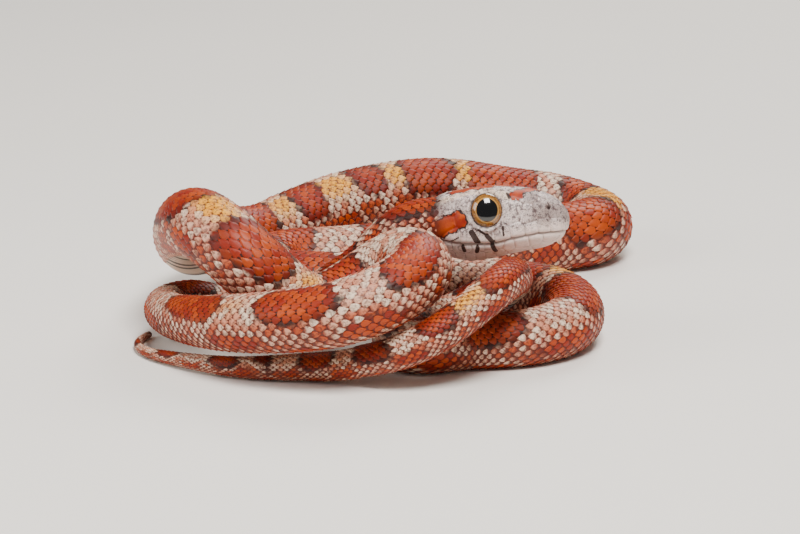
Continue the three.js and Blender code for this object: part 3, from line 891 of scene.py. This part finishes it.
def make_scales(finish):
    pieces = []
    rings = scale_rings()
    row_angles = np.radians((np.arange(ROWS) - (ROWS - 1) / 2) * BACK_SPAN / ROWS)
    own_s = []
    own_angle = []
    for k, angle in enumerate(row_angles):
        offset = 0.5 if k % 2 else 0.0
        own_s.append(rings + offset * ring_step(rings))
        own_angle.append(np.full(len(rings), angle))
    own_s = np.concatenate(own_s)
    own_angle = np.concatenate(own_angle)
    order = np.argsort(own_s, kind="stable")
    own_s, own_angle = own_s[order], own_angle[order]
    keep = own_s < SPINE_LENGTH - TAIL_CLEAR
    own_s, own_angle = own_s[keep], own_angle[keep]
    radius = smooth_list(GIRTH, own_s, GIRTH_BLEND)
    # Over the back the scales overlap, and on the flanks more of the skin shows between them.
    stretched = smoothstep(np.abs(np.degrees(own_angle)), 40, 75)
    wide = SCALE_WIDTH[0] + stretched * (SCALE_WIDTH[1] - SCALE_WIDTH[0])
    half = math.radians(BACK_SPAN / ROWS) * 0.5 * wide
    length = ring_step(own_s) * (SCALE_LENGTH[0] + stretched * (SCALE_LENGTH[1] - SCALE_LENGTH[0]))
    lift = 0.06 + 0.035 * radius / 4
    for i, chosen in enumerate(np.array_split(np.arange(len(own_s)), SCALE_PIECES)):
        piece = scale_group(f"scales_{i + 1}", SCALE_SHAPE, own_s[chosen], own_angle[chosen],
                            length[chosen], half[chosen], lift[chosen], finish)
        pieces.append(piece)
    edge = math.radians(BACK_SPAN / 2)
    belly = rings[(rings > 0.5) & (rings < SPINE_LENGTH - 0.8)]
    half_belly = np.full(len(belly), (math.pi - edge) * 1.04)
    whole = belly < VENT
    front = belly[whole]
    pieces.append(scale_group("belly_scutes", SCUTE_SHAPE, front, np.full(len(front), math.pi),
                              ring_step(front) * SCUTE_LENGTH, half_belly[whole],
                              np.full(len(front), BELLY_LIFT), finish))
    under = belly[~whole]
    for name, sign in (("tail_scutes_left", 1), ("tail_scutes_right", -1)):
        middle = np.full(len(under), sign * (edge + (math.pi - edge) / 2))
        pieces.append(scale_group(name, SCUTE_SHAPE, under, middle, ring_step(under) * SCUTE_LENGTH,
                                  half_belly[~whole] / 2, np.full(len(under), TAIL_LIFT), finish))
    return pieces


# Eyes

def make_eye(name, sign, finish):
    """A smooth lens-shaped eye; its level reach is 0 at the pupil's middle and 1 at the rim."""
    rings, around = 40, 96
    polar = np.linspace(0, math.pi, rings + 1)[1:-1]
    turn = np.linspace(0, 2 * math.pi, around, endpoint=False)
    p, t = np.meshgrid(polar, turn, indexing="ij")
    along_up = [np.sin(p) * np.cos(t) * EYE_LONG, np.sin(p) * np.sin(t) * EYE_TALL]
    local = np.stack(along_up + [np.cos(p) * EYE_DEEP], -1)
    reach = np.where(p < math.pi / 2, np.sin(p), 1.2)
    local = np.vstack([local.reshape(-1, 3), [[0, 0, EYE_DEEP], [0, 0, -EYE_DEEP]]])
    reach = np.concatenate([reach.ravel(), [0, 1.2]])
    out = unit(np.array([0.16, sign, 0.12]))
    up = unit(np.array([0, 0, 1.0]) - out * out[2])
    along = np.cross(up, out)
    side = float(head_side(EYE_ALONG, np.array(EYE_UP))) - EYE_SUNK
    seat = np.array([EYE_ALONG, sign * side, EYE_UP])
    head = seat + local @ np.stack([along, up, out])
    points = HEAD_REAR + head @ np.stack([FORWARD, LEFT, CROWN])
    row = np.arange(len(polar) - 1)[:, None] * around
    here = np.arange(around)[None, :]
    there = (here + 1) % around
    corners = [row + here, row + around + here, row + around + there, row + there]
    faces = np.stack(corners, -1).reshape(-1, 4)
    caps = []
    last = (len(polar) - 1) * around
    top = len(polar) * around
    for k in range(0, around, 2):
        second, third = (k + 1) % around, (k + 2) % around
        caps.append((top, k, second, third))
        caps.append((top + 1, last + third, last + second, last + k))
    return make_mesh(name, points, np.vstack([faces, np.array(caps)]), finish, {"reach": reach})


# Camera, light and floor

CAMERA_ELEVATION = 15.0
CAMERA_DISTANCE = 344.0
PICTURE_WIDTH = 800
PIXELS_PER_MM = 9.0
AIM = np.array([0.0, 0.0, 8.0])


def make_camera():
    tilt = math.radians(CAMERA_ELEVATION)
    toward = np.array([0, math.cos(tilt), -math.sin(tilt)])
    data = bpy.data.cameras.new("camera")
    data.sensor_width = 36
    data.lens = PIXELS_PER_MM * CAMERA_DISTANCE / PICTURE_WIDTH * data.sensor_width
    data.clip_start = 0.01
    camera = bpy.data.objects.new("camera", data)
    camera.location = (AIM - toward * CAMERA_DISTANCE - MIDDLE) * MM
    camera.rotation_euler = Vector(toward).to_track_quat("-Z", "Y").to_euler()
    bpy.context.scene.collection.objects.link(camera)
    bpy.context.scene.camera = camera


def make_light(name, place, size, energy, colour):
    data = bpy.data.lights.new(name, "AREA")
    data.size = size * MM
    data.energy = energy
    data.color = colour
    light = bpy.data.objects.new(name, data)
    light.location = Vector(place) * MM
    aim = Vector((0, 0, 8 * MM)) - light.location
    light.rotation_euler = aim.to_track_quat("-Z", "Y").to_euler()
    bpy.context.scene.collection.objects.link(light)


def make_studio():
    make_light("key light", (50, -190, 360), 150, 2.5, (1.0, 0.97, 0.93))
    make_light("side light", (-330, -120, 200), 200, 0.7, (1.0, 0.97, 0.94))
    make_light("back light", (120, 300, 300), 200, 1.2, (1.0, 0.96, 0.9))
    world = bpy.data.worlds.new("studio")
    world.use_nodes = True
    backdrop = world.node_tree.nodes["Background"]
    backdrop.inputs["Color"].default_value = (0.9, 0.92, 0.95, 1)
    backdrop.inputs["Strength"].default_value = 0.2
    bpy.context.scene.world = world
    bpy.ops.mesh.primitive_plane_add(size=4)
    floor = bpy.context.object
    floor.name = "studio_floor"
    floor.data.materials.append(floor_finish())


make_camera()
make_studio()

flesh = [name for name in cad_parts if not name.startswith("eye")]
skin = make_skin(skin_finish())
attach(skin, "root")
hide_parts(*flesh)

for piece in make_scales(scale_finish()):
    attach(piece, "root")

gloss = eye_finish()
for eye_name, eye_sign in (("eye_left", 1), ("eye_right", -1)):
    eye_piece = make_eye(eye_name + "_ball", eye_sign, gloss)
    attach(eye_piece, "root")
    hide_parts(eye_name)
